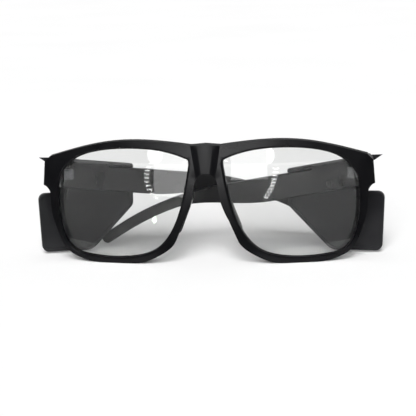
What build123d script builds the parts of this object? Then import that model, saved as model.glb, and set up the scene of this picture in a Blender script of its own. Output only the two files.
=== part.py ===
"""Safety glasses with folded temples and clip-on side shields, in millimetres.

+Z is up, +X is the wearer's left and +Y runs from the lenses towards the ears. The rims stand on z = 0, the
middle of the bridge is at x = 0, and Y is measured from the middle of the folded glasses' depth.
Each side is drawn as the wearer's left one with its temple open, then folded and, for the right, mirrored.
"""

import math
import os

from build123d import *

# Whole object
FRONT_Y = -29.5             # foremost point of the bridge, so that the folded depth is centred on y = 0
FOLD_ANGLE = {"left": 82.5, "right": 73.5}    # how far each temple is folded from open
DROOP = {"left": 10.6, "right": 7.1}          # slope of each temple down towards the ear

# Front frame: a moulded rim of even depth that follows a sphere
FRONT_RADIUS = 210.0
FRONT_DEPTH = 5.0
SPHERE_Z = 28.0             # height of the sphere's centre
BRIDGE_TOP = 52.0
ARCH_TOP = 39.8
REST_FROM, REST_TO = 33.0, 46.0     # flat under each rim that it stands on
OPENING_BEVEL = 0.9
CUT_FROM, CUT_DEPTH = -5.0, 40.0    # depth range that holds the whole curved front

# Lenses
LENS_SETBACK = 1.9          # from the rim's front face
LENS_THICKNESS = 2.2
GROOVE_DEPTH = 0.8
GROOVE_PLAY = 0.03
OPENING_STEPS = 36          # points used when the opening's outline is moved outwards

# Hinges
PIN_X, PIN_Y, PIN_Z = 65.6, 22.0, 36.7
ENDPIECE_INNER_X, ENDPIECE_OUTER_X = 66.0, 76.0
ENDPIECE_FROM_Y = 13.0
ENDPIECE_BOTTOM, ENDPIECE_TOP = 30.6, 44.6
KNUCKLE_RADIUS = 1.6
KNUCKLE_HEIGHT = 2.4
KNUCKLE_GAP = 0.2
KNUCKLE_RECESS = 1.95
RECESS_PLAY = 0.6
PIN_RADIUS = 0.68
PIN_BORE = 0.72
PIN_HEAD_RADIUS = 1.25
PIN_HEAD_HEIGHT = 0.7
LEAF_THICKNESS = 0.8
LEAF_HEIGHT = 4.6
LEAF_SCREW_RADIUS = 0.55
LEAF_SCREW_LENGTH = 2.4
LEAF_SCREW_SPREAD = 2.6
SCREW_PLAY = 0.02
FRONT_LEAF_X = ENDPIECE_INNER_X - LEAF_THICKNESS
FRONT_LEAF_FROM = 16.5
FRONT_SCREW_Y = 18.2
LEAF_SINK = 0.6             # the temple leaf sits lower than the knuckles, with the arm's slope
TEMPLE_LEAF_TO = 6.2
TEMPLE_SCREW_Y = PIN_Y + 4.6

# Temple arms
ARM_INNER_X, ARM_OUTER_X = 66.6, 70.6
ARM_HEIGHT = 10.8
ARM_START = 0.25            # gap between the endpiece and an open temple
ARM_WIDE_TO = 41.0          # length of full height
ARM_NARROW_FROM = 86.0      # where the slim part begins
SLIM_HEIGHT = 4.7
ARM_SINK = 0.95             # the arm's middle line is this far below the hinge's middle
ARM_LEAD = 3.0              # length drawn ahead of the pin, before the end is cut upright
BEND_FROM = 63.0
BEND_RADIUS = 130.0
BEND_ANGLE = 22.0
TIP_STRAIGHT = 8.5          # straight length after the bend
TIP_FROM = 88.5             # where the tip sleeve begins
TONGUE_LENGTH = 9.0
TONGUE_HEIGHT, TONGUE_THICKNESS = 3.0, 2.0
SLEEVE_THICKNESS = 3.6
SLEEVE_EDGE_RADIUS = 1.0
TIP_GAP = 0.05
ARM_EDGE_RADIUS = 0.6
CORE_HEIGHT, CORE_THICKNESS = 1.4, 1.0
TEMPLE_LEAF_X = ARM_INNER_X - LEAF_THICKNESS

# Side shields
PANEL_INNER_X, PANEL_OUTER_X = 70.95, 72.15
RIM_WIDTH, RIM_PROUD = 1.3, 0.45
PANEL_FRONT, PANEL_REAR = -9.8, 32.8
PANEL_BOTTOM, PANEL_FLANGE_TOP = 1.0, 27.3
PANEL_NECK = 0.9            # the panel starts behind the endpiece
PANEL_CORNER_Z = 20.5
PANEL_FOOT = 14.0
NECK_FROM, NECK_TOP = -1.5, 31.0    # the slanted corner between the flange and the neck
HORN_TIP = -8.6
HORN_THICKNESS = 1.1
HORN_INNER_X = 71.95
LEDGE_X = 68.6
CLIP_GAP, CLIP_WALL, CLIP_LIP = 0.3, 1.3, 1.2
CLIP_INNER_X = ARM_INNER_X - CLIP_GAP - CLIP_LIP
UPPER_CLIP = (4.5, 21.5)
LOWER_CLIP = (3.0, 21.6)
UPPER_LIP, LOWER_LIP = 1.4, 0.5
CLIP_FOOT = 3.0             # depth of the step under the lower clip

# Nose pads
PAD_LENGTH, PAD_WIDTH, PAD_DEPTH = 17.0, 3.6, 7.0
PAD_X, PAD_Z, PAD_LEAN = 10.5, 21.0, 21.0
PAD_PEG_RADIUS = 0.7


def upright(sketch, depth, start=0.0):
    """Extrude a sketch drawn in (x, z) towards +Y from y = start."""
    standing = Plane(origin=(0, start, 0), x_dir=(1, 0, 0), z_dir=(0, -1, 0))
    return extrude(standing * sketch, -depth)


def sideways(sketch, inner, outer):
    """Extrude a sketch drawn in (y, z) along X from inner to outer."""
    side = Plane(origin=(inner, 0, 0), x_dir=(0, 1, 0), z_dir=(1, 0, 0))
    return extrude(side * sketch, outer - inner)


def shell(front, thickness):
    """Part of the front's sphere: set back from its outer face by front, and as thick as thickness."""
    centre = Pos(0, FRONT_RADIUS, SPHERE_Z)
    outer_radius = FRONT_RADIUS - front
    return centre * (Sphere(outer_radius) - Sphere(outer_radius - thickness))


# ---------------------------------------------------------------- front frame

def front_outline():
    """Left half of the frame seen from the front, in (x, z)."""
    brow = Spline((68.4, 45.8), (60.4, 48.3), (43.4, 52.4), (32.5, 53.4), (18.5, 52.9), (6.3, 51.5))
    keystone = Line(brow @ 1, (0, BRIDGE_TOP))
    middle = Line(keystone @ 1, (0, ARCH_TOP))
    arch = Spline(middle @ 1, (3.4, 38.4), (6.0, 28.0), (9.3, 19.8), (13.1, 10.8), tangents=[(1, 0), (0.42, -1)])
    nasal = Spline(arch @ 1, (19.4, 4.5), (REST_FROM, 0), tangents=[(0.42, -1), (1, 0)])
    rest = Line(nasal @ 1, (REST_TO, 0))
    temporal = Spline(rest @ 1, (56.3, 2.0), (61.2, 4.9), (66.3, 15.1), (68.6, 29.4), tangents=[(1, 0), (0.03, 1)])
    notch = Spline(temporal @ 1, (69.6, 31.9), (71.6, 33.2), tangents=[(0.03, 1), (1, 0.2)])
    end = Line(notch @ 1, (70.9, 43.2))
    corner = Line(end @ 1, brow @ 0)
    return make_face(Curve() + [brow, keystone, middle, arch, nasal, rest, temporal, notch, end, corner])


def opening_edge():
    """Edge of the left lens opening seen from the front, in (x, z), clockwise."""
    return Spline(
        (8.3, 45.6), (18.5, 48.8), (33.0, 49.9), (46.5, 48.7), (57.4, 44.7), (63.2, 38.4), (65.0, 27.0),
        (63.5, 13.8), (59.4, 6.1), (50.0, 3.0), (34.0, 2.8), (22.5, 6.2), (14.2, 16.6), (9.9, 29.3), (7.6, 41.4),
        periodic=True,
    )


def grown_opening(amount):
    """The opening's outline, moved outwards by an amount all round."""
    edge = opening_edge()
    points = []
    for step in range(OPENING_STEPS):
        ahead = edge % (step / OPENING_STEPS)
        points.append(edge @ (step / OPENING_STEPS) + Vector(-ahead.Y, ahead.X) * amount)
    return make_face(Spline(*points, periodic=True))


def left_lens():
    """The lens, as wide as its groove less a little play."""
    blank = upright(grown_opening(GROOVE_DEPTH - GROOVE_PLAY), CUT_DEPTH, CUT_FROM)
    return blank & shell(LENS_SETBACK, LENS_THICKNESS)


def lens_groove():
    """What the left lens's groove takes out of the rim."""
    room = shell(LENS_SETBACK - GROOVE_PLAY, LENS_THICKNESS + 2 * GROOVE_PLAY)
    return upright(grown_opening(GROOVE_DEPTH), CUT_DEPTH, CUT_FROM) & room


def keystone_facets():
    """Left half of the raised three-sided bridge, whose face narrows downwards."""
    top = Plane((0, 0, BRIDGE_TOP)) * Polygon((0, -0.9), (3.2, -0.9), (6.3, 0.3), (6.3, 4), (0, 4), align=None)
    foot = Plane((0, 0, ARCH_TOP - 3)) * Polygon((0, -0.9), (1.9, -0.9), (4.2, 0.3), (4.2, 4), (0, 4), align=None)
    return loft([top, foot])


def left_front():
    """Left half of the front frame with its endpiece, groove, hinge recess and pad hole."""
    outline = front_outline()
    rim = upright(outline, CUT_DEPTH, CUT_FROM) & shell(0, FRONT_DEPTH)
    rim -= upright(make_face(opening_edge()), CUT_DEPTH, CUT_FROM)
    opening_edges = rim.edges().sort_by(SortBy.LENGTH)[-2:]
    rim = chamfer(opening_edges.sort_by(Axis.Y)[0], OPENING_BEVEL)
    bridge = keystone_facets() & upright(outline, CUT_DEPTH, CUT_FROM)
    end_box = block(ENDPIECE_INNER_X, ENDPIECE_OUTER_X, ENDPIECE_FROM_Y, PIN_Y, ENDPIECE_BOTTOM, ENDPIECE_TOP)
    endpiece = upright(outline, PIN_Y - ENDPIECE_FROM_Y, ENDPIECE_FROM_Y) & end_box
    half = rim + bridge + endpiece - lens_groove()
    half -= hinge_recess()
    half -= leaf_screws(FRONT_LEAF_X, FRONT_SCREW_Y, PIN_Z, SCREW_PLAY)
    return half - pad_peg(SCREW_PLAY)


# ---------------------------------------------------------------- hinge

def leaf_screws(start_x, y, z, play=0.0):
    """Two small screws along X through a leaf, into the plastic behind it."""
    upward = (Align.CENTER, Align.CENTER, Align.MIN)
    screws = []
    for side in (-1, 1):
        shank = Cylinder(LEAF_SCREW_RADIUS + play, LEAF_SCREW_LENGTH + play, align=upward)
        screws.append(Pos(start_x, y, z + side * LEAF_SCREW_SPREAD / 2) * Rot(0, 90, 0) * shank)
    return Compound(screws)


def knuckle(level):
    """One hinge knuckle: level -1 is the lowest, 0 the middle and 1 the top one."""
    z = PIN_Z + level * (KNUCKLE_HEIGHT + KNUCKLE_GAP)
    return Pos(PIN_X, PIN_Y, z) * Cylinder(KNUCKLE_RADIUS, KNUCKLE_HEIGHT)


def block(x_from, x_to, y_from, y_to, z_from, z_to):
    """A plain block between two corners."""
    size = Box(x_to - x_from, y_to - y_from, z_to - z_from)
    return Pos((x_from + x_to) / 2, (y_from + y_to) / 2, (z_from + z_to) / 2) * size


def pin_bore():
    return Pos(PIN_X, PIN_Y, PIN_Z) * Cylinder(PIN_BORE, 2 * ARM_HEIGHT)


def hinge_recess():
    """Room for the knuckles and the screw's head in the endpiece and the arm."""
    height = 3 * KNUCKLE_HEIGHT + 2 * KNUCKLE_GAP + 2 * PIN_HEAD_HEIGHT + RECESS_PLAY
    return Pos(PIN_X, PIN_Y, PIN_Z) * Cylinder(KNUCKLE_RECESS, height)


def front_leaf():
    """Plate on the endpiece's inner face with the two outer knuckles."""
    x_to = FRONT_LEAF_X + LEAF_THICKNESS
    half_height = 1.5 * KNUCKLE_HEIGHT + KNUCKLE_GAP
    leaf = block(FRONT_LEAF_X, x_to, FRONT_LEAF_FROM, PIN_Y - KNUCKLE_RECESS,
                 PIN_Z - half_height, PIN_Z + half_height)
    for level in (-1, 1):
        z = PIN_Z + level * (KNUCKLE_HEIGHT + KNUCKLE_GAP)
        leaf += block(FRONT_LEAF_X, x_to, FRONT_LEAF_FROM, PIN_Y,
                      z - KNUCKLE_HEIGHT / 2, z + KNUCKLE_HEIGHT / 2)
        leaf += knuckle(level)
    return leaf - pin_bore() - leaf_screws(FRONT_LEAF_X - 0.5, FRONT_SCREW_Y, PIN_Z, SCREW_PLAY)


def temple_leaf():
    """Plate on the arm's inner face with the middle knuckle."""
    z = PIN_Z - LEAF_SINK
    leaf = block(TEMPLE_LEAF_X, ARM_INNER_X, PIN_Y + KNUCKLE_RECESS, PIN_Y + TEMPLE_LEAF_TO,
                 z - LEAF_HEIGHT / 2, z + LEAF_HEIGHT / 2)
    leaf += block(TEMPLE_LEAF_X, ARM_INNER_X, PIN_Y, PIN_Y + TEMPLE_LEAF_TO / 2,
                  PIN_Z - KNUCKLE_HEIGHT / 2, PIN_Z + KNUCKLE_HEIGHT / 2)
    leaf += knuckle(0)
    return leaf - pin_bore() - leaf_screws(TEMPLE_LEAF_X - 0.5, TEMPLE_SCREW_Y, z, SCREW_PLAY)


def hinge_screw():
    """Shank through all three knuckles with a low head on top."""
    foot = PIN_Z - 1.5 * KNUCKLE_HEIGHT - KNUCKLE_GAP
    length = 3 * KNUCKLE_HEIGHT + 2 * KNUCKLE_GAP
    upward = (Align.CENTER, Align.CENTER, Align.MIN)
    shank = Pos(PIN_X, PIN_Y, foot) * Cylinder(PIN_RADIUS, length, align=upward)
    head = Pos(PIN_X, PIN_Y, foot + length) * Cylinder(PIN_HEAD_RADIUS, PIN_HEAD_HEIGHT, align=upward)
    slot = Pos(PIN_X, PIN_Y, foot + length + PIN_HEAD_HEIGHT) * Box(3, 0.4, 0.6)
    return shank + head - slot


# ---------------------------------------------------------------- temples

def bend_point(radius, angle):
    """Point on the ear bend, in (along, up) from the pin, before the temple's droop."""
    turn = math.radians(angle)
    centre_up = ARM_HEIGHT / 2 - BEND_RADIUS
    return (BEND_FROM + radius * math.sin(turn), centre_up + radius * math.cos(turn))


def bend_angle(along):
    """Angle of the ear bend at a length along the temple's top edge."""
    return math.degrees((along - BEND_FROM) / BEND_RADIUS)


def bent_strip(angle_from, angle_to, inset, height, straight, rounded):
    """Strip along the ear bend, inset from the top edge, with a straight end piece."""
    top_radius = BEND_RADIUS - inset
    low_radius = top_radius - height
    ahead = Vector(math.cos(math.radians(angle_to)), -math.sin(math.radians(angle_to)))
    top = RadiusArc(bend_point(top_radius, angle_from), bend_point(top_radius, angle_to), top_radius)
    low = RadiusArc(bend_point(low_radius, angle_from), bend_point(low_radius, angle_to), low_radius)
    top_end = top @ 1 + ahead * straight
    low_end = low @ 1 + ahead * straight
    edges = [top, low, Line(top @ 0, low @ 0)]
    if straight > 0:
        edges += [Line(top @ 1, top_end), Line(low @ 1, low_end)]
    if rounded:
        edges.append(ThreePointArc(top_end, (top_end + low_end) / 2 + ahead * height / 2, low_end))
    else:
        edges.append(Line(top_end, low_end))
    return make_face(Curve() + edges)


def drooped(sketch, droop):
    """Turn a sketch about the pin by the temple's slope and move it there, in (y, z)."""
    return Pos(PIN_Y, PIN_Z - ARM_SINK) * Rot(0, 0, -droop) * sketch


def arm_outline():
    """The stiff arm from before the hinge to the sleeve, in (along, up) from the pin."""
    top_radius = BEND_RADIUS
    low_radius = BEND_RADIUS - SLIM_HEIGHT
    end_angle = bend_angle(TIP_FROM)
    narrow = bend_point(low_radius, bend_angle(ARM_NARROW_FROM))
    slope = math.radians(bend_angle(ARM_NARROW_FROM))
    top = Line((-ARM_LEAD, ARM_HEIGHT / 2), (BEND_FROM, ARM_HEIGHT / 2))
    bend = RadiusArc(top @ 1, bend_point(top_radius, end_angle), top_radius)
    end = Line(bend @ 1, bend_point(low_radius, end_angle))
    slim = RadiusArc(narrow, end @ 1, low_radius)
    taper = Spline((ARM_WIDE_TO, -ARM_HEIGHT / 2), narrow,
                   tangents=[(1, 0), (math.cos(slope), -math.sin(slope))])
    bottom = Line((-ARM_LEAD, -ARM_HEIGHT / 2), (ARM_WIDE_TO, -ARM_HEIGHT / 2))
    front = Line((-ARM_LEAD, -ARM_HEIGHT / 2), (-ARM_LEAD, ARM_HEIGHT / 2))
    return make_face(Curve() + [top, bend, end, slim, taper, bottom, front])


def tongue_outline():
    """The arm's tongue, which goes into the sleeve."""
    inset = (SLIM_HEIGHT - TONGUE_HEIGHT) / 2
    angle_to = bend_angle(TIP_FROM + TONGUE_LENGTH)
    return bent_strip(bend_angle(TIP_FROM - 1), angle_to, inset, TONGUE_HEIGHT, 0, False)


def core_outline():
    """The flat core wire, from inside the tongue almost to the end of the sleeve."""
    inset = (SLIM_HEIGHT - CORE_HEIGHT) / 2
    return bent_strip(bend_angle(TIP_FROM + 2), BEND_ANGLE, inset, CORE_HEIGHT, TIP_STRAIGHT - 2, False)


def core_wire(droop, play=0.0):
    centre = (ARM_INNER_X + ARM_OUTER_X) / 2
    outline = drooped(core_outline(), droop)
    if play:
        outline = offset(outline, play)
    return sideways(outline, centre - CORE_THICKNESS / 2 - play, centre + CORE_THICKNESS / 2 + play)


def tongue(droop, play=0.0):
    centre = (ARM_INNER_X + ARM_OUTER_X) / 2
    outline = drooped(tongue_outline(), droop)
    if play:
        outline = offset(outline, play)
    return sideways(outline, centre - TONGUE_THICKNESS / 2 - play, centre + TONGUE_THICKNESS / 2 + play)


def temple_arm(droop):
    """Stiff arm, with its front end cut upright to meet the endpiece."""
    arm = sideways(drooped(arm_outline(), droop), ARM_INNER_X, ARM_OUTER_X)
    long_edges = arm.edges().filter_by(GeomType.PLANE, reverse=True)
    arm = fillet(long_edges.filter_by(lambda edge: edge.length > 11.5), ARM_EDGE_RADIUS)
    arm -= block(PIN_X, PANEL_OUTER_X, PIN_Y - 2 * ARM_LEAD, PIN_Y + ARM_START,
                 PIN_Z - ARM_HEIGHT, PIN_Z + ARM_HEIGHT)
    arm -= hinge_recess()
    arm -= leaf_screws(TEMPLE_LEAF_X, TEMPLE_SCREW_Y, PIN_Z - LEAF_SINK, SCREW_PLAY)
    return arm + tongue(droop) - core_wire(droop, SCREW_PLAY)


def temple_tip(droop):
    """Soft sleeve round the tongue and the core wire."""
    centre = (ARM_INNER_X + ARM_OUTER_X) / 2
    outline = bent_strip(bend_angle(TIP_FROM + TIP_GAP), BEND_ANGLE, 0, SLIM_HEIGHT, TIP_STRAIGHT, True)
    sleeve = sideways(drooped(outline, droop), centre - SLEEVE_THICKNESS / 2, centre + SLEEVE_THICKNESS / 2)
    sleeve = fillet(sleeve.edges().filter_by(Axis.X, reverse=True).filter_by(
        lambda edge: edge.length > SLIM_HEIGHT + 0.5), SLEEVE_EDGE_RADIUS)
    return sleeve - tongue(droop, SCREW_PLAY) - core_wire(droop, SCREW_PLAY)


# ---------------------------------------------------------------- side shields

def arm_line(along, up, droop):
    """Height of a line parallel to the arm, up from its axis, at a distance along Y from the pin."""
    slope = math.radians(droop)
    return PIN_Z - ARM_SINK + up / math.cos(slope) - along * math.tan(slope)


def band(along_from, along_to, up_from, up_to, droop):
    """Strip parallel to the arm with upright ends, in (y, z)."""
    corners = [
        (PIN_Y + along_from, arm_line(along_from, up_from, droop)),
        (PIN_Y + along_to, arm_line(along_to, up_from, droop)),
        (PIN_Y + along_to, arm_line(along_to, up_to, droop)),
        (PIN_Y + along_from, arm_line(along_from, up_to, droop)),
    ]
    return Polygon(*corners, align=None)


def panel_outline(droop):
    """The shield's panel: a flange below the endpiece, the field behind it and a slanted rear corner."""
    lip = ARM_HEIGHT / 2 + CLIP_GAP + CLIP_WALL
    points = [
        (PANEL_FRONT, PANEL_FLANGE_TOP),
        (NECK_FROM, PANEL_FLANGE_TOP),
        (PANEL_NECK, NECK_TOP),
        (PANEL_NECK, arm_line(PANEL_NECK, lip, droop)),
        (PANEL_REAR, arm_line(PANEL_REAR, lip, droop)),
        (PANEL_REAR, PANEL_CORNER_Z),
        (PANEL_FOOT, PANEL_BOTTOM),
        (PANEL_FRONT + 1.2, PANEL_BOTTOM),
    ]
    placed = [(PIN_Y + along, z) for along, z in points]
    return make_face(FilletPolyline(*placed, radius=[3.0, 1.0, 1.0, 1.0, 1.0, 4.0, 7.0, 3.0], close=True))


def horn_outline(droop):
    """The pointed front end of the top ledge, which lies outside the endpiece."""
    lip = ARM_HEIGHT / 2 + CLIP_GAP + CLIP_WALL
    rise = arm_line(0, lip, droop)
    points = [(6, arm_line(6, lip, droop)), (0, rise), (HORN_TIP, rise + 0.4), (HORN_TIP + 3.4, rise - 2.0),
              (6, arm_line(6, lip - 2.4, droop))]
    return Polygon(*[(PIN_Y + along, z) for along, z in points], align=None)


def side_shield(droop):
    """Panel with a thickened border, a top ledge and two channels that hold the arm."""
    outline = panel_outline(droop)
    shield = sideways(outline, PANEL_INNER_X, PANEL_OUTER_X)
    border = outline - offset(outline, -RIM_WIDTH)
    arm_space = sideways(drooped(offset(arm_outline(), 0.6), droop), ARM_INNER_X - 1, PANEL_INNER_X)
    shield += sideways(border, PANEL_INNER_X - RIM_PROUD, PANEL_OUTER_X + RIM_PROUD) - arm_space
    shield += sideways(horn_outline(droop), HORN_INNER_X, HORN_INNER_X + HORN_THICKNESS)
    shield += sideways(band(PANEL_NECK, 6, ARM_HEIGHT / 2 - 1.0, ARM_HEIGHT / 2 + CLIP_GAP + CLIP_WALL, droop),
                       PANEL_INNER_X, HORN_INNER_X + HORN_THICKNESS)
    top, low = ARM_HEIGHT / 2 + CLIP_GAP, -ARM_HEIGHT / 2 - CLIP_GAP
    shield += sideways(band(PANEL_NECK, PANEL_REAR, top, top + CLIP_WALL, droop), LEDGE_X, PANEL_OUTER_X)
    foot = band(*LOWER_CLIP, low - CLIP_WALL - CLIP_FOOT, low - CLIP_WALL, droop)
    shield += sideways(foot, LEDGE_X, PANEL_OUTER_X)
    for ends, wall_from, wall_to, lip_from, lip_to in (
        (UPPER_CLIP, top, top + CLIP_WALL, ARM_HEIGHT / 2 - UPPER_LIP, top + CLIP_WALL),
        (LOWER_CLIP, low - CLIP_WALL, low, low - CLIP_WALL, -ARM_HEIGHT / 2 + LOWER_LIP),
    ):
        shield += sideways(band(*ends, wall_from, wall_to, droop), CLIP_INNER_X, PANEL_OUTER_X)
        shield += sideways(band(*ends, lip_from, lip_to, droop), CLIP_INNER_X, CLIP_INNER_X + CLIP_LIP)
    return shield


# ---------------------------------------------------------------- nose pads

def pad_place():
    return Pos(PAD_X, PAD_Z) * Rot(0, 0, PAD_LEAN - 90)


def pad_peg(play=0.0):
    """The pad's peg in the back of the rim."""
    return upright(Pos(PAD_X, PAD_Z) * Circle(PAD_PEG_RADIUS + play), 4.0 + play, 3.4 - play)


def nose_pad():
    """Rounded pad behind the nasal side of the rim, on one peg."""
    pad = upright(pad_place() * SlotOverall(PAD_LENGTH, PAD_WIDTH), PAD_DEPTH, FRONT_DEPTH)
    far_edges = pad.edges().group_by(Axis.Y)[-1]
    pad = fillet(far_edges, 1.3)
    ball = Pos(0, FRONT_RADIUS, SPHERE_Z) * Sphere(FRONT_RADIUS - FRONT_DEPTH - 0.02)
    return (pad & ball) + pad_peg()


# ---------------------------------------------------------------- placing and writing

def folded(shape, side):
    """Turn a left temple's piece about its pin from open to its folded place."""
    return Pos(PIN_X, PIN_Y, 0) * Rot(0, 0, FOLD_ANGLE[side]) * Pos(-PIN_X, -PIN_Y, 0) * shape


def write(name, shape, side="left"):
    """Mirror a right piece across the middle, centre the depth and write the file."""
    placed = mirror(shape, Plane.YZ) if side == "right" else shape
    export_step(Pos(0, FRONT_Y, 0) * placed, f"parts/{name}.step")


def main():
    os.makedirs("parts", exist_ok=True)
    half = left_front()
    write("front_frame", half + mirror(half, Plane.YZ))
    for side in ("right", "left"):
        droop = DROOP[side]
        fixed = {
            "lens": left_lens(),
            "nose_pad": nose_pad(),
            "hinge_front_leaf": front_leaf(),
            "front_leaf_screws": leaf_screws(FRONT_LEAF_X, FRONT_SCREW_Y, PIN_Z),
            "hinge_screw": hinge_screw(),
        }
        turning = {
            "hinge_temple_leaf": temple_leaf(),
            "temple_leaf_screws": leaf_screws(TEMPLE_LEAF_X, TEMPLE_SCREW_Y, PIN_Z - LEAF_SINK),
            "temple_arm": temple_arm(droop),
            "temple_tip": temple_tip(droop),
            "tip_core_wire": core_wire(droop),
            "side_shield": side_shield(droop),
        }
        for name, shape in fixed.items():
            write(f"{name}_{side}", shape, side)
        for name, shape in turning.items():
            write(f"{name}_{side}", folded(shape, side), side)


if __name__ == "__main__":
    main()
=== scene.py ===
import math

import bpy
from mathutils import Matrix, Vector


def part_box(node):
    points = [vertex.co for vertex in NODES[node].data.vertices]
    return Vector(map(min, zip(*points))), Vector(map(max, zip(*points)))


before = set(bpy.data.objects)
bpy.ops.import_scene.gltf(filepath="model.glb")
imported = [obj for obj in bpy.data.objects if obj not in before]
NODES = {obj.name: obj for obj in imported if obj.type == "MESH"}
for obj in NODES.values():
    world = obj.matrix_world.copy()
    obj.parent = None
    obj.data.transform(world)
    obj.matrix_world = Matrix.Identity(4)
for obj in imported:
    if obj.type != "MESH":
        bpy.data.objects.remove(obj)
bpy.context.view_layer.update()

# Looks of the folded safety glasses, in metres. +Z is up, +X is the wearer's left, and the camera is on the
# -Y side.

MM = 0.001
FRONT_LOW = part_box("front_frame")[0]

# Edge radius of each kind of node, by the start of its name
EDGE_RADIUS = {
    "front_frame": 0.45 * MM,
    "lens_": 0.12 * MM,
    "temple_arm": 0.15 * MM,
    "temple_tip": 0.15 * MM,
    "side_shield": 0.3 * MM,
    "nose_pad": 0.2 * MM,
    "hinge_": 0.08 * MM,
    "front_leaf": 0.05 * MM,
    "temple_leaf": 0.05 * MM,
    "tip_core": 0.05 * MM,
}
SHARP_ANGLE = math.radians(28)
WELD_DISTANCE = 0.002 * MM
BEVEL_STEPS = 3

# Moulded plastics: base tones and roughness between which the patches vary, grain in patches a metre
PATCHES = 90.0
GRAIN_STRENGTH = 0.6
PLASTICS = {
    "frame_black": {
        "dark": (0.0018, 0.0018, 0.0023), "light": (0.0034, 0.0034, 0.004), "roughness": (0.26, 0.34),
        "grain": 2600.0, "grain_depth": 0.02 * MM, "specular": 0.13,
    },
    "temple_black": {
        "dark": (0.006, 0.006, 0.0065), "light": (0.009, 0.009, 0.0095), "roughness": (0.26, 0.34),
        "grain": 2200.0, "grain_depth": 0.015 * MM, "specular": 0.26,
    },
    "shield_black": {
        "dark": (0.004, 0.004, 0.005), "light": (0.007, 0.007, 0.008), "roughness": (0.28, 0.36),
        "grain": 1800.0, "grain_depth": 0.02 * MM, "specular": 0.2,
    },
    "soft_black": {
        "dark": (0.003, 0.003, 0.0035), "light": (0.005, 0.005, 0.0055), "roughness": (0.34, 0.44),
        "grain": 3000.0, "grain_depth": 0.012 * MM, "specular": 0.35,
    },
}

# Lens: clear polycarbonate
LENS_WAVES = 25.0
LENS_TINTS = (0.84, 0.845, 0.84), (0.87, 0.875, 0.87)
LENS_ROUGHNESS = (0.0, 0.006)
POLYCARBONATE_IOR = 1.5

# Hinge steel
STEEL_SCRATCHES = 900.0
STEEL_TONES = (0.06, 0.06, 0.062), (0.11, 0.11, 0.115)
STEEL_ROUGHNESS = (0.24, 0.42)
SCRATCH_DEPTH = 0.004 * MM
SCRATCH_STRENGTH = 0.5

# Camera, at the photograph's viewing angle
CAMERA_TURN = math.radians(4.9)
CAMERA_RAISE = math.radians(10.0)
CAMERA_ROLL = math.radians(-1.15)
CAMERA_DISTANCE = 0.70
CAMERA_LENS = 141.4
AIM_BEHIND_FRONT = 8.9 * MM
AIM_HEIGHT = 26.0 * MM
SHIFT = (0.0012, -0.0137)

# Stage: the floor, and a black card lying in front of the glasses
FLOOR_HALF = 9.0
FLOOR_TONES = (0.86, 0.86, 0.86), (0.88, 0.88, 0.88)
FLAG_GAP = 6 * MM
FLAG_DEPTH = 2.5
FLAG_HALF_WIDTH = 1.5
FLAG_HEIGHT = 0.4 * MM
FLAG_TONE = (0.02, 0.02, 0.02, 1)

# The studio around the glasses
WORLD_STRENGTH = 0.36
WORLD_TONES = (0.10, 0.10, 0.105, 1), (1.0, 1.0, 1.0, 1)
WORLD_RAMP = (0.05, 0.70)   # height where the dark tone ends, and height where the light tone starts
BACK_LIGHT = 0.25           # how much higher the studio counts behind the glasses than in front
KEY_LIGHTS = ((42, 2.7), (21, 3.0))     # degrees above the floor, and strength
KEY_SOFTNESS = math.radians(26)

# Lamps that only show as reflections: radiances, then places on an upright plane ahead of the front
REFLECTOR_AHEAD = 150 * MM
WINDOW = 2.3
LAMP = 4.5
ROW_LAMP = 34.0
KEYSTONE_GLOW = 14.0
KEYSTONE_WINDOW = (-0.030, 0.004, 0.020, 0.060)
LAMP_SIZES = (8 * MM, 13 * MM, 19 * MM)     # discs in one place, so that the lamp fades outwards
ROW_LAMPS = 11
ROW_LAMP_WIDTH = 6 * MM
ROW_LAMP_HEIGHT = 0.9 * MM
# For each lens: left, right, low and high of its window, place of its lamp, three points of its bowed row
LENS_REFLECTIONS = {
    "right": (
        (-0.076, -0.036, 0.004, 0.078),
        (-0.0745, 0.052),
        ((-0.079, 0.043), (-0.085, 0.021), (-0.069, -0.003)),
    ),
    "left": (
        (0.016, 0.058, 0.024, 0.078),
        (0.0575, 0.051),
        ((0.068, 0.036), (0.0635, 0.016), (0.0525, -0.001)),
    ),
}

# The greenish lamp close in front of the right lens
GLINT = 14.0
GLINT_COLOUR = (0.8, 1.0, 0.8)
GLINT_AHEAD = 50 * MM
GLINT_PLACE = (-0.042, 0.0034)
GLINT_SIZE = (3.0 * MM, 5.0 * MM)


# Shading helpers

def new_material(name):
    """A node material with only a Principled shader and its output, and that shader."""
    material = bpy.data.materials.new(name)
    material.use_nodes = True
    shader = material.node_tree.nodes["Principled BSDF"]
    return material, shader


def object_noise(tree, scale, detail=3.0, stretch=(1.0, 1.0, 1.0)):
    """Noise in the object's own space, with scale in patches a metre. Returns its height output."""
    place = tree.nodes.new("ShaderNodeTexCoord")
    mapping = tree.nodes.new("ShaderNodeMapping")
    mapping.inputs["Scale"].default_value = stretch
    noise = tree.nodes.new("ShaderNodeTexNoise")
    noise.inputs["Scale"].default_value = scale
    noise.inputs["Detail"].default_value = detail
    tree.links.new(place.outputs["Object"], mapping.inputs["Vector"])
    tree.links.new(mapping.outputs["Vector"], noise.inputs["Vector"])
    return noise.outputs["Fac"]


def colour_between(tree, factor, dark, light):
    """A colour that goes from dark to light as factor goes from 0.3 to 0.7."""
    ramp = tree.nodes.new("ShaderNodeValToRGB")
    ramp.color_ramp.elements[0].position = 0.3
    ramp.color_ramp.elements[0].color = (*dark, 1)
    ramp.color_ramp.elements[1].position = 0.7
    ramp.color_ramp.elements[1].color = (*light, 1)
    tree.links.new(factor, ramp.inputs["Fac"])
    return ramp.outputs["Color"]


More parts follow.
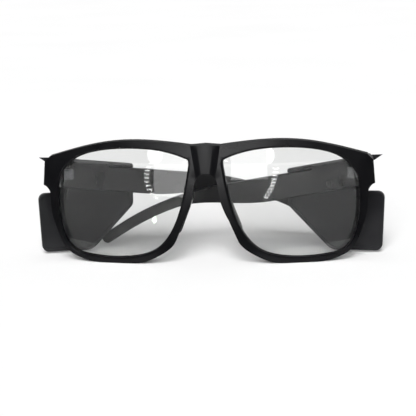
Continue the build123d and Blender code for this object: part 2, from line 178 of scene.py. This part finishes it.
def value_between(tree, factor, low, high):
    """A number that goes from low to high as factor goes from 0.3 to 0.7."""
    spread = tree.nodes.new("ShaderNodeMapRange")
    spread.inputs["From Min"].default_value = 0.3
    spread.inputs["From Max"].default_value = 0.7
    spread.inputs["To Min"].default_value = low
    spread.inputs["To Max"].default_value = high
    tree.links.new(factor, spread.inputs["Value"])
    return spread.outputs["Result"]


def add_bump(tree, shader, height, distance, strength):
    bump = tree.nodes.new("ShaderNodeBump")
    bump.inputs["Distance"].default_value = distance
    bump.inputs["Strength"].default_value = strength
    tree.links.new(height, bump.inputs["Height"])
    tree.links.new(bump.outputs["Normal"], shader.inputs["Normal"])


def moulded_plastic(name, dark, light, roughness, grain, grain_depth, specular):
    """Moulded black plastic: an even fine grain, and broad faint patches of colour and gloss."""
    material, shader = new_material(name)
    tree = material.node_tree
    patches = object_noise(tree, PATCHES)
    fine = object_noise(tree, grain, detail=2.0)
    tree.links.new(colour_between(tree, patches, dark, light), shader.inputs["Base Color"])
    tree.links.new(value_between(tree, patches, *roughness), shader.inputs["Roughness"])
    add_bump(tree, shader, fine, grain_depth, GRAIN_STRENGTH)
    shader.inputs["Specular IOR Level"].default_value = specular
    return material


def clear_lens(name):
    """Clear coated polycarbonate, faintly grey, with the slight unevenness of a moulded lens."""
    material, shader = new_material(name)
    tree = material.node_tree
    waves = object_noise(tree, LENS_WAVES, detail=1.0)
    tint = colour_between(tree, waves, *LENS_TINTS)
    tree.links.new(tint, shader.inputs["Base Color"])
    tree.links.new(value_between(tree, waves, *LENS_ROUGHNESS), shader.inputs["Roughness"])
    shader.inputs["IOR"].default_value = POLYCARBONATE_IOR
    shader.inputs["Transmission Weight"].default_value = 1.0
    return material


def turned_steel(name):
    """Stamped and turned steel, with fine scratches along its length."""
    material, shader = new_material(name)
    tree = material.node_tree
    scratches = object_noise(tree, STEEL_SCRATCHES, detail=4.0, stretch=(1.0, 1.0, 0.08))
    tone = colour_between(tree, scratches, *STEEL_TONES)
    tree.links.new(tone, shader.inputs["Base Color"])
    tree.links.new(value_between(tree, scratches, *STEEL_ROUGHNESS), shader.inputs["Roughness"])
    add_bump(tree, shader, scratches, SCRATCH_DEPTH, SCRATCH_STRENGTH)
    shader.inputs["Metallic"].default_value = 1.0
    return material


MATERIALS = {name: moulded_plastic(name, **look) for name, look in PLASTICS.items()}
MATERIALS["lens_clear"] = clear_lens("lens_clear")
MATERIALS["hinge_steel"] = turned_steel("hinge_steel")


# The CAD nodes: rounded edges, smooth shading and their materials

def edge_radius(node_name):
    starts = [start for start in EDGE_RADIUS if node_name.startswith(start)]
    return EDGE_RADIUS[starts[0]]


def soften(node):
    """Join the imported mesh's faces along their edges and round the sharp edges off."""
    for polygon in node.data.polygons:
        polygon.use_smooth = True
    if "custom_normal" in node.data.attributes:
        node.data.attributes.remove(node.data.attributes["custom_normal"])
    weld = node.modifiers.new("join faces", "WELD")
    weld.merge_threshold = WELD_DISTANCE
    bevel = node.modifiers.new("round edges", "BEVEL")
    bevel.limit_method = "ANGLE"
    bevel.angle_limit = SHARP_ANGLE
    bevel.width = edge_radius(node.name)
    bevel.segments = BEVEL_STEPS
    bevel.use_clamp_overlap = True
    even = node.modifiers.new("even shading", "WEIGHTED_NORMAL")
    even.keep_sharp = True


def paint(node):
    for slot in node.material_slots:
        slot.material = MATERIALS[slot.material.name.split(".")[0]]


for cad_node in NODES.values():
    soften(cad_node)
    paint(cad_node)


# Stage

def make_sheet(name, x_from, x_to, y_from, y_to, z):
    """A flat level sheet that isn't part of the object."""
    corners = [(x_from, y_from, z), (x_to, y_from, z), (x_to, y_to, z), (x_from, y_to, z)]
    mesh = bpy.data.meshes.new(name)
    mesh.from_pydata(corners, [], [(0, 1, 2, 3)])
    sheet = bpy.data.objects.new(name, mesh)
    bpy.context.scene.collection.objects.link(sheet)
    return sheet


def make_floor():
    floor = make_sheet("floor", -FLOOR_HALF, FLOOR_HALF, -FLOOR_HALF, FLOOR_HALF, 0.0)
    material, shader = new_material("pale_floor")
    tree = material.node_tree
    tone = colour_between(tree, object_noise(tree, 6.0), *FLOOR_TONES)
    tree.links.new(tone, shader.inputs["Base Color"])
    shader.inputs["Roughness"].default_value = 0.7
    shader.inputs["Specular IOR Level"].default_value = 0.2
    floor.data.materials.append(material)


def make_flag():
    """A studio flag: black card on the floor in front, which only the reflections see."""
    near = FRONT_LOW.y - FLAG_GAP
    flag = make_sheet("flag", -FLAG_HALF_WIDTH, FLAG_HALF_WIDTH, near - FLAG_DEPTH, near, FLAG_HEIGHT)
    material, shader = new_material("black_card")
    shader.inputs["Base Color"].default_value = FLAG_TONE
    shader.inputs["Roughness"].default_value = 0.9
    shader.inputs["Specular IOR Level"].default_value = 0.0
    flag.data.materials.append(material)
    flag.visible_camera = False
    flag.visible_diffuse = False
    flag.visible_transmission = False
    flag.visible_shadow = False


# Light

def make_world():
    """A studio that is bright above and behind, and dark in front of the glasses near the horizon."""
    world = bpy.data.worlds.new("studio")
    world.use_nodes = True
    tree = world.node_tree
    background = tree.nodes["Background"]
    place = tree.nodes.new("ShaderNodeTexCoord")
    split = tree.nodes.new("ShaderNodeSeparateXYZ")
    height = tree.nodes.new("ShaderNodeMath")
    height.operation = "MULTIPLY_ADD"
    height.inputs[1].default_value = BACK_LIGHT
    ramp = tree.nodes.new("ShaderNodeValToRGB")
    for element, position, colour in zip(ramp.color_ramp.elements, WORLD_RAMP, WORLD_TONES):
        element.position = position
        element.color = colour
    tree.links.new(place.outputs["Generated"], split.inputs["Vector"])
    tree.links.new(split.outputs["Y"], height.inputs[0])
    tree.links.new(split.outputs["Z"], height.inputs[2])
    tree.links.new(height.outputs["Value"], ramp.inputs["Fac"])
    tree.links.new(ramp.outputs["Color"], background.inputs["Color"])
    background.inputs["Strength"].default_value = WORLD_STRENGTH
    bpy.context.scene.world = world


def make_softbox(name, location, target, width, height, radiance):
    """A soft rectangular lamp, unseen by the camera itself."""
    light = bpy.data.lights.new(name, "AREA")
    light.shape = "RECTANGLE"
    light.size = width
    light.size_y = height
    light.energy = radiance * width * height * math.pi
    softbox = bpy.data.objects.new(name, light)
    softbox.location = location
    direction = Vector(target) - Vector(location)
    softbox.rotation_euler = direction.to_track_quat("-Z", "Y").to_euler()
    softbox.visible_camera = False
    bpy.context.scene.collection.objects.link(softbox)
    return softbox


def make_key_light(number, degrees, strength):
    """A large soft light from the camera's side, so that shadows fall behind the glasses."""
    light = bpy.data.lights.new(f"key_{number}", "SUN")
    light.energy = strength
    light.angle = KEY_SOFTNESS
    key = bpy.data.objects.new(f"key_{number}", light)
    height = math.radians(degrees)
    towards = Vector((0.0, -math.cos(height), math.sin(height)))
    key.rotation_euler = towards.to_track_quat("Z", "Y").to_euler()
    bpy.context.scene.collection.objects.link(key)


def make_reflector(name, x, z, width, height, radiance):
    """A lamp upright in front of the lenses that only shows as a reflection."""
    y = FRONT_LOW.y - REFLECTOR_AHEAD
    reflector = make_softbox(name, (x, y, z), (x, 0.0, z), width, height, radiance)
    reflector.visible_diffuse = False
    return reflector


def on_bow(start, middle, end, share):
    """Point on the curve from start through middle to end."""
    ways = ((1 - share) * (1 - 2 * share), 4 * share * (1 - share), share * (2 * share - 1))
    return [sum(way * point[axis] for way, point in zip(ways, (start, middle, end))) for axis in (0, 1)]


def make_window(name, left, right, low, high, radiance):
    make_reflector(name, (left + right) / 2, (low + high) / 2, right - left, high - low, radiance)


def make_reflections():
    """A window for the keystone, and for each lens a window, a lamp and a bowed row of small lamps."""
    make_window("window_middle", *KEYSTONE_WINDOW, KEYSTONE_GLOW)
    for side, (window, lamp, row) in LENS_REFLECTIONS.items():
        make_window(f"window_{side}", *window, WINDOW)
        for number, size in enumerate(LAMP_SIZES):
            disc = make_reflector(f"lamp_{side}_{number}", *lamp, size, size, LAMP)
            disc.data.shape = "DISK"
        for number in range(ROW_LAMPS):
            x, z = on_bow(*row, number / (ROW_LAMPS - 1))
            make_reflector(f"row_{side}_{number}", x, z, ROW_LAMP_WIDTH, ROW_LAMP_HEIGHT, ROW_LAMP)


def make_glint():
    """A small greenish lamp close in front that shows as a spot low in the right lens."""
    x, z = GLINT_PLACE
    glint = make_softbox("glint", (x, FRONT_LOW.y - GLINT_AHEAD, z), (x, 0.0, z), *GLINT_SIZE, GLINT)
    glint.data.shape = "ELLIPSE"
    glint.data.color = GLINT_COLOUR
    glint.visible_diffuse = False


# Camera

def make_camera():
    aim = Vector((0.0, FRONT_LOW.y + AIM_BEHIND_FRONT, AIM_HEIGHT))
    level = math.cos(CAMERA_RAISE)
    back = Vector((math.sin(CAMERA_TURN) * level, -math.cos(CAMERA_TURN) * level, math.sin(CAMERA_RAISE)))
    right = Vector((0.0, 0.0, 1.0)).cross(back).normalized()
    up = back.cross(right)
    rolled_right = right * math.cos(CAMERA_ROLL) + up * math.sin(CAMERA_ROLL)
    rolled_up = back.cross(rolled_right)
    place = Matrix((rolled_right, rolled_up, back)).transposed().to_4x4()
    place.translation = aim + back * CAMERA_DISTANCE
    data = bpy.data.cameras.new("camera")
    data.lens = CAMERA_LENS
    data.shift_x, data.shift_y = SHIFT
    data.clip_start = 0.01
    data.clip_end = 50.0
    camera = bpy.data.objects.new("camera", data)
    camera.matrix_world = place
    bpy.context.scene.collection.objects.link(camera)
    bpy.context.scene.camera = camera


make_floor()
make_flag()
make_world()
for number, (degrees, strength) in enumerate(KEY_LIGHTS):
    make_key_light(number, degrees, strength)
make_reflections()
make_glint()
make_camera()
bpy.context.scene.view_settings.view_transform = "Standard"
